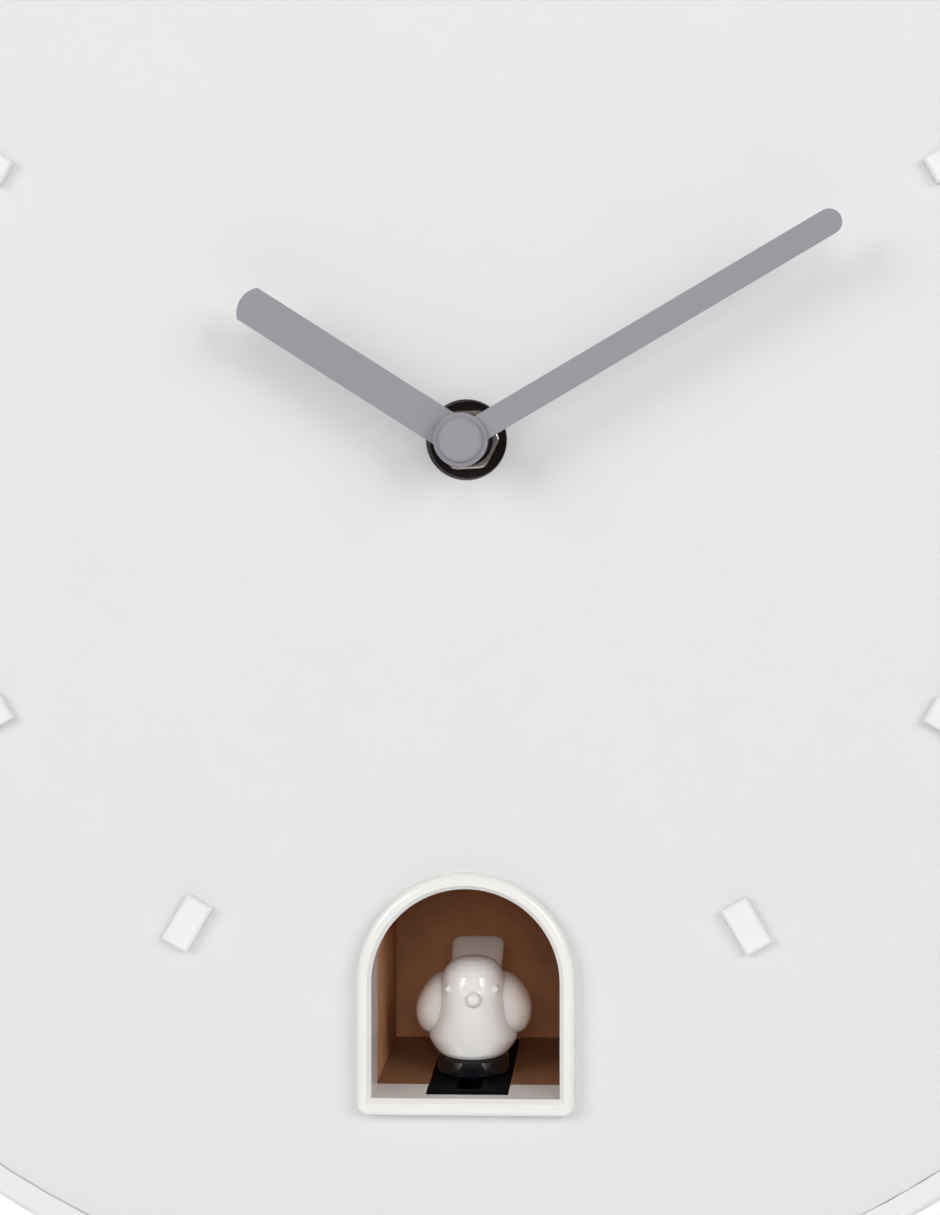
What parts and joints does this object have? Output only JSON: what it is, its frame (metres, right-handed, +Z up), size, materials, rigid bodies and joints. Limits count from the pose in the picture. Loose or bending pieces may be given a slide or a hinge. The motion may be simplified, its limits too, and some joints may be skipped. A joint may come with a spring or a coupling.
{
  "type": "cuckoo clock",
  "caption": "Round white wall clock with grey hands, raised block hour markers and an arched doorway in which a small white bird slides forward.",
  "frame": {"origin": "where the hand axis meets the wall, at the middle of the back cover's wall side", "axes": "front of the clock faces -Y, +Z up, +X to the viewer's right, so +Y points into the wall"},
  "size_m": [0.3, 0.0646, 0.3],
  "materials": {
    "case_white": "satin white moulded plastic",
    "dial_white": "fine matte white plastic",
    "marker_white": "gloss white plastic",
    "frame_white": "gloss white plastic",
    "nest_brown": "satin brown plastic",
    "mechanism_black": "gloss black plastic",
    "bird_white": "high gloss white plastic",
    "hand_grey": "satin grey paint",
    "nut_steel": "bright plated steel",
    "screw_steel": "zinc plated",
    "hanger_steel": "plated sheet steel",
    "back_white": "textured white plastic",
    "movement_black": "matte black plastic",
    "gear_white": "natural nylon",
    "arbor_brass": "turned brass",
    "rotor_magnet": "dark ferrite",
    "stator_steel": "bare steel",
    "coil_copper": "enamelled copper",
    "board_green": "solder resist",
    "cone_paper": "pressed paper",
    "cell_wrap": "plain shrink wrap",
    "switch_black": "matte black",
    "button_grey": "grey rubber",
    "lead_pvc": "PVC insulation"
  },
  "bodies": {
    "case": {"case_ring": "case_white", "dial_plate": "dial_white", "hour_markers": "marker_white", "door_frame": "frame_white", "nest_box": "nest_brown", "bird_chassis": "mechanism_black", "drive_axle": "hanger_steel", "gearbox_plate": "mechanism_black", "motor_can": "hanger_steel", "motor_end_cap": "movement_black", "movement_front": "movement_black", "movement_back": "movement_black", "stator": "stator_steel", "coil": "coil_copper", "movement_board": "board_green", "movement_bracket": "hanger_steel", "washer": "nut_steel", "shaft_nut": "nut_steel", "back_cover": "back_white", "hanger_plate": "hanger_steel", "hanger_screws": "screw_steel", "cover_screws": "screw_steel", "battery_tray": "back_white", "battery_cells": "cell_wrap", "battery_contacts": "stator_steel", "speaker_frame": "hanger_steel", "speaker_cone": "cone_paper", "speaker_magnet": "rotor_magnet", "sound_board": "board_green", "switch_body": "movement_black", "button_body": "movement_black", "panel_screws": "screw_steel", "speaker_lead": "lead_pvc", "battery_lead": "lead_pvc", "motor_lead": "lead_pvc", "movement_lead": "lead_pvc"},
    "bird": {"bird_carriage": "mechanism_black", "pedestal": "mechanism_black", "bird_body": "bird_white", "left_wing": "bird_white", "right_wing": "bird_white"},
    "minute_hand_set": {"minute_arbor": "arbor_brass", "minute_hand": "hand_grey", "hand_cap": "hand_grey"},
    "hour_hand_set": {"hour_wheel": "gear_white", "hour_hand": "hand_grey"},
    "minute_wheel": {"minute_wheel": "gear_white"},
    "setting_knob": {"setting_knob": "gear_white"},
    "rotor": {"rotor": "rotor_magnet"},
    "fifth_wheel": {"fifth_wheel": "gear_white"},
    "fourth_wheel": {"fourth_wheel": "gear_white"},
    "third_wheel": {"third_wheel": "gear_white"},
    "centre_wheel": {"centre_wheel": "gear_white"},
    "drive_gear": {"drive_gear": "gear_white"},
    "motor_armature": {"motor_armature": "stator_steel", "motor_pinion": "arbor_brass"},
    "battery_door": {"battery_door": "back_white"},
    "switch_slider": {"switch_slider": "switch_black"},
    "test_button": {"test_button": "button_grey"}
  },
  "joints": [
    {"name": "bird_slide", "type": "slide", "parent": "case", "child": "bird", "axis": [0, -1, 0], "range_m": [0, 0.013]},
    {"name": "drive_gear_turn", "type": "hinge", "parent": "case", "child": "drive_gear", "pos_m": [0, -0.0295, -0.1238], "axis": [1, 0, 0], "range_deg": [-1, 157]},
    {"name": "motor_turn", "type": "hinge", "parent": "case", "child": "motor_armature", "pos_m": [0.02, -0.01869, -0.12773], "axis": [1, 0, 0], "range_deg": [-563, 4]},
    {"name": "minute_hand_turn", "type": "hinge", "parent": "case", "child": "minute_hand_set", "pos_m": [0, -0.05, 0], "axis": [0, 1, 0], "continuous": true},
    {"name": "hour_hand_turn", "type": "hinge", "parent": "case", "child": "hour_hand_set", "pos_m": [0, -0.05, 0], "axis": [0, 1, 0], "continuous": true},
    {"name": "minute_wheel_turn", "type": "hinge", "parent": "case", "child": "minute_wheel", "pos_m": [-0.006, -0.039, -0.01039], "axis": [0, 1, 0], "continuous": true},
    {"name": "setting_knob_turn", "type": "hinge", "parent": "case", "child": "setting_knob", "pos_m": [0, -0.039, -0.02078], "axis": [0, 1, 0], "continuous": true},
    {"name": "rotor_turn", "type": "hinge", "parent": "case", "child": "rotor", "pos_m": [-0.0127, -0.036, 0.00496], "axis": [0, 1, 0], "continuous": true},
    {"name": "fifth_wheel_turn", "type": "hinge", "parent": "case", "child": "fifth_wheel", "pos_m": [-0.01085, -0.036, 0.01003], "axis": [0, 1, 0], "continuous": true},
    {"name": "fourth_wheel_turn", "type": "hinge", "parent": "case", "child": "fourth_wheel", "pos_m": [-0.00464, -0.036, 0.01112], "axis": [0, 1, 0], "continuous": true},
    {"name": "third_wheel_turn", "type": "hinge", "parent": "case", "child": "third_wheel", "pos_m": [0.0054, -0.036, 0.00935], "axis": [0, 1, 0], "continuous": true},
    {"name": "centre_wheel_turn", "type": "hinge", "parent": "case", "child": "centre_wheel", "pos_m": [0, -0.037, 0], "axis": [0, 1, 0], "continuous": true},
    {"name": "battery_door_lift", "type": "slide", "parent": "case", "child": "battery_door", "axis": [0, 1, 0], "range_m": [0, 0.02]},
    {"name": "switch_slide", "type": "slide", "parent": "case", "child": "switch_slider", "axis": [1, 0, 0], "range_m": [-0.0025, 0.0025]},
    {"name": "test_button_press", "type": "slide", "parent": "case", "child": "test_button", "axis": [0, -1, 0], "range_m": [0, 0.001], "stiffness_N_per_m": 400, "springref_m": -0.001}
  ],
  "couplings": [
    {"joint": "drive_gear_turn", "follows": "bird_slide", "rad_per_m": 208.33},
    {"joint": "motor_turn", "follows": "bird_slide", "rad_per_m": -750},
    {"joint": "hour_hand_turn", "follows": "minute_hand_turn", "ratio": 0.083333},
    {"joint": "minute_wheel_turn", "follows": "minute_hand_turn", "ratio": -0.33333},
    {"joint": "setting_knob_turn", "follows": "minute_hand_turn", "ratio": 1},
    {"joint": "fifth_wheel_turn", "follows": "rotor_turn", "ratio": -0.2},
    {"joint": "fourth_wheel_turn", "follows": "rotor_turn", "ratio": 0.033333},
    {"joint": "third_wheel_turn", "follows": "rotor_turn", "ratio": -0.0044444},
    {"joint": "centre_wheel_turn", "follows": "rotor_turn", "ratio": 0.00055556}
  ]
}
